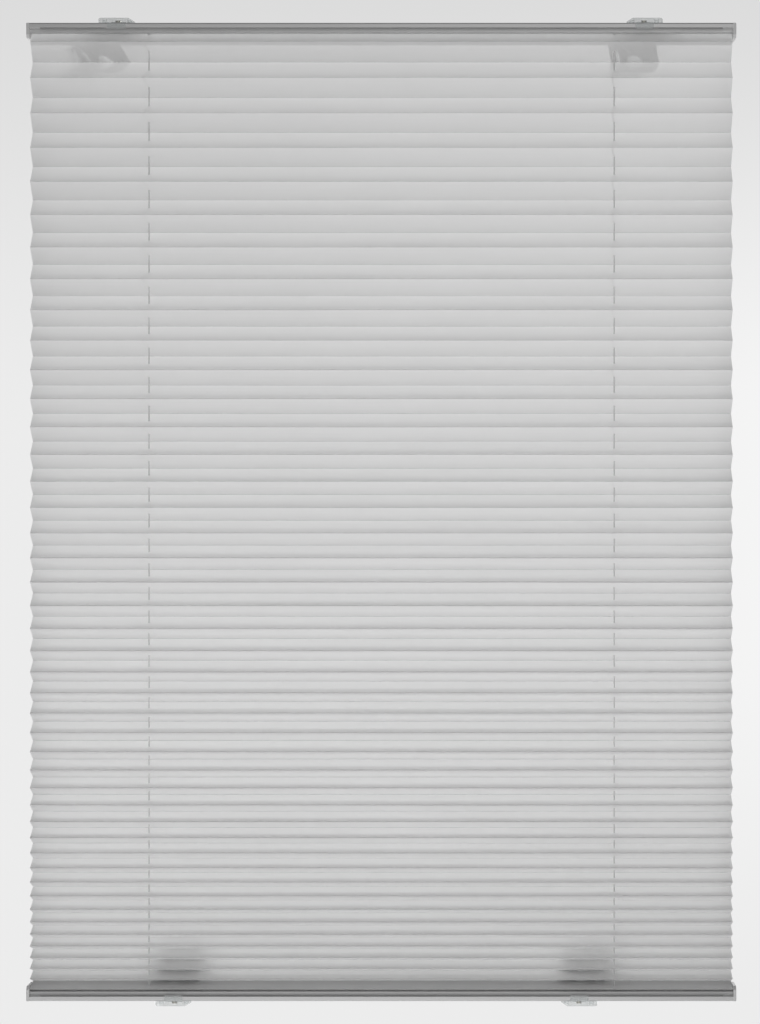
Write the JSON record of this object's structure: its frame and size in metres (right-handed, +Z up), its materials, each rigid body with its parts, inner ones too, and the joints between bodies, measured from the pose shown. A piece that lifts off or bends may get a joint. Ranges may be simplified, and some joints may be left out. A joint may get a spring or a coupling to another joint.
{
  "type": "pleated blind",
  "caption": "Clamp-on pleated window blind with two slim sliding rails, translucent cloth, tension cords and clear cord shoes.",
  "frame": {"origin": "middle of the whole object's box", "axes": "+X along the rails to the right seen from the room, +Y from the room to the window, +Z up"},
  "size_m": [0.5, 0.0522, 0.6958],
  "materials": {
    "rail_aluminium": "satin anodised",
    "cap_plastic": "satin",
    "strip_plastic": "matte",
    "pleated_cloth": "translucent woven polyester",
    "cord": "braided",
    "guide_plastic": "smooth",
    "bracket_steel": "powder coated",
    "soft_pad": "matte foam",
    "clear_plastic": "clear polycarbonate",
    "clear_pad": "clear silicone",
    "ferrule_brass": "plain",
    "fastener_steel": "zinc plated"
  },
  "bodies": {
    "frame": {"pleated_fabric": "pleated_cloth", "tension_cord_left": "cord", "tension_cord_right": "cord", "top_left_bracket": "bracket_steel", "top_left_plate_pad": "soft_pad", "top_left_shoe": "clear_plastic", "top_left_cord_ferrule": "ferrule_brass", "top_right_bracket": "bracket_steel", "top_right_plate_pad": "soft_pad", "top_right_shoe": "clear_plastic", "top_right_cord_ferrule": "ferrule_brass", "bottom_left_bracket": "bracket_steel", "bottom_left_plate_pad": "soft_pad", "bottom_left_shoe": "clear_plastic", "bottom_left_cord_ferrule": "ferrule_brass", "bottom_right_bracket": "bracket_steel", "bottom_right_plate_pad": "soft_pad", "bottom_right_shoe": "clear_plastic", "bottom_right_cord_ferrule": "ferrule_brass"},
    "upper_rail": {"top_rail": "rail_aluminium", "top_end_cap_left": "cap_plastic", "top_end_cap_right": "cap_plastic", "top_fabric_strip": "strip_plastic", "top_cord_guide_left": "guide_plastic", "top_cord_guide_right": "guide_plastic"},
    "lower_rail": {"bottom_rail": "rail_aluminium", "bottom_end_cap_left": "cap_plastic", "bottom_end_cap_right": "cap_plastic", "bottom_fabric_strip": "strip_plastic", "bottom_cord_guide_left": "guide_plastic", "bottom_cord_guide_right": "guide_plastic"},
    "top_left_jaw_slide_body": {"top_left_jaw": "clear_plastic", "top_left_jaw_pad": "clear_pad", "top_left_jaw_nut": "fastener_steel"},
    "top_left_screw_body": {"top_left_clamp_screw": "fastener_steel"},
    "top_right_jaw_slide_body": {"top_right_jaw": "clear_plastic", "top_right_jaw_pad": "clear_pad", "top_right_jaw_nut": "fastener_steel"},
    "top_right_screw_body": {"top_right_clamp_screw": "fastener_steel"},
    "bottom_left_jaw_slide_body": {"bottom_left_jaw": "clear_plastic", "bottom_left_jaw_pad": "clear_pad", "bottom_left_jaw_nut": "fastener_steel"},
    "bottom_left_screw_body": {"bottom_left_clamp_screw": "fastener_steel"},
    "bottom_right_jaw_slide_body": {"bottom_right_jaw": "clear_plastic", "bottom_right_jaw_pad": "clear_pad", "bottom_right_jaw_nut": "fastener_steel"},
    "bottom_right_screw_body": {"bottom_right_clamp_screw": "fastener_steel"}
  },
  "joints": [
    {"name": "top_rail_slide", "type": "slide", "parent": "frame", "child": "upper_rail", "axis": [0, 0, 1], "range_m": [-0.311, 0], "deforming": ["pleated_fabric", "tension_cord_left", "tension_cord_right"]},
    {"name": "bottom_rail_slide", "type": "slide", "parent": "frame", "child": "lower_rail", "axis": [0, 0, 1], "range_m": [0, 0.311], "deforming": ["pleated_fabric", "tension_cord_left", "tension_cord_right"]},
    {"name": "top_left_screw_turn", "type": "hinge", "parent": "frame", "child": "top_left_screw_body", "pos_m": [-0.1905, 0.0029, 0.3402], "axis": [0, 1, 0], "range_deg": [-2829, 2829]},
    {"name": "top_left_jaw_slide", "type": "slide", "parent": "frame", "child": "top_left_jaw_slide_body", "axis": [0, 1, 0], "range_m": [-0.0055, 0.0055]},
    {"name": "top_right_screw_turn", "type": "hinge", "parent": "frame", "child": "top_right_screw_body", "pos_m": [0.1815, 0.0029, 0.3402], "axis": [0, 1, 0], "range_deg": [-2829, 2829]},
    {"name": "top_right_jaw_slide", "type": "slide", "parent": "frame", "child": "top_right_jaw_slide_body", "axis": [0, 1, 0], "range_m": [-0.0055, 0.0055]},
    {"name": "bottom_left_screw_turn", "type": "hinge", "parent": "frame", "child": "bottom_left_screw_body", "pos_m": [-0.1425, 0.0029, -0.3402], "axis": [0, 1, 0], "range_deg": [-2829, 2829]},
    {"name": "bottom_left_jaw_slide", "type": "slide", "parent": "frame", "child": "bottom_left_jaw_slide_body", "axis": [0, 1, 0], "range_m": [-0.0055, 0.0055]},
    {"name": "bottom_right_screw_turn", "type": "hinge", "parent": "frame", "child": "bottom_right_screw_body", "pos_m": [0.1435, 0.0029, -0.3402], "axis": [0, 1, 0], "range_deg": [-2829, 2829]},
    {"name": "bottom_right_jaw_slide", "type": "slide", "parent": "frame", "child": "bottom_right_jaw_slide_body", "axis": [0, 1, 0], "range_m": [-0.0055, 0.0055]}
  ],
  "couplings": [
    {"joint": "top_left_screw_turn", "follows": "top_left_jaw_slide", "rad_per_m": -8976},
    {"joint": "top_right_screw_turn", "follows": "top_right_jaw_slide", "rad_per_m": -8976},
    {"joint": "bottom_left_screw_turn", "follows": "bottom_left_jaw_slide", "rad_per_m": -8976},
    {"joint": "bottom_right_screw_turn", "follows": "bottom_right_jaw_slide", "rad_per_m": -8976}
  ]
}
